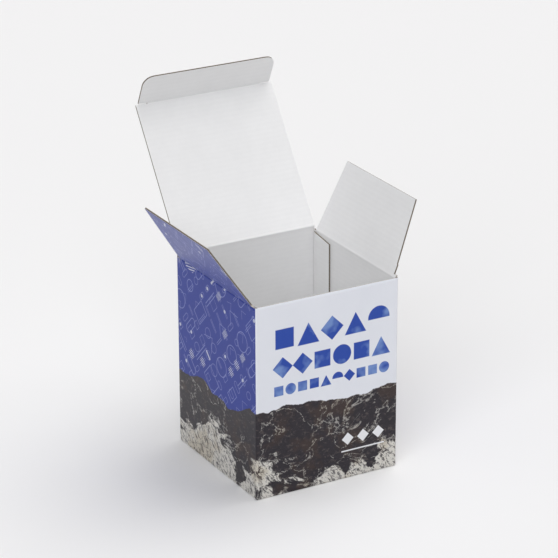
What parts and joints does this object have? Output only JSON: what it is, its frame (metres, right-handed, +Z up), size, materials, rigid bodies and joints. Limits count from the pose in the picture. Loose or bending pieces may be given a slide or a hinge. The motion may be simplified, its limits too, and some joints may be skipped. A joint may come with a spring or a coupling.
{
  "type": "tuck-top corrugated mug box",
  "caption": "Open cardboard box for a mug, folded from one sheet, with a hinged tuck-in lid, two dust flaps, a side glue flap and a glued bottom.",
  "frame": {"origin": "centre of the underside, on the surface the box stands on", "axes": "+Z up, -Y the printed front wall, +Y the back wall that carries the lid, +X the right wall as seen from the front"},
  "size_m": [0.1458, 0.1577, 0.2306],
  "materials": {
    "printed_board": "white-lined corrugated board, printed, matte",
    "lid_board": "white-lined corrugated board, matte",
    "tuck_board": "white-lined corrugated board, matte",
    "blue_board": "corrugated board, blue print outside, white inside",
    "white_board": "white-lined corrugated board, matte"
  },
  "bodies": {
    "carton": {"carton": "printed_board"},
    "lid": {"lid": "lid_board"},
    "tuck_flap": {"tuck_flap": "tuck_board"},
    "left_dust_flap": {"left_dust_flap": "blue_board"},
    "right_dust_flap": {"right_dust_flap": "white_board"}
  },
  "joints": [
    {"name": "lid_hinge", "type": "hinge", "parent": "carton", "child": "lid", "pos_m": [0, 0.0503, 0.1285], "axis": [-1, 0, 0], "range_deg": [-124.5, 75]},
    {"name": "tuck_hinge", "type": "hinge", "parent": "lid", "child": "tuck_flap", "pos_m": [0, 0.10632, 0.21001], "axis": [-1, 0, 0], "range_deg": [-41.2, 24.9]},
    {"name": "left_dust_hinge", "type": "hinge", "parent": "carton", "child": "left_dust_flap", "pos_m": [-0.0493, 0, 0.12655], "axis": [0, -1, 0], "range_deg": [-124, 76]},
    {"name": "right_dust_hinge", "type": "hinge", "parent": "carton", "child": "right_dust_flap", "pos_m": [0.0493, 0, 0.12655], "axis": [0, 1, 0], "range_deg": [-112, 88]}
  ],
  "couplings": [
    {"joint": "tuck_hinge", "follows": "lid_hinge", "ratio": 0.33}
  ]
}
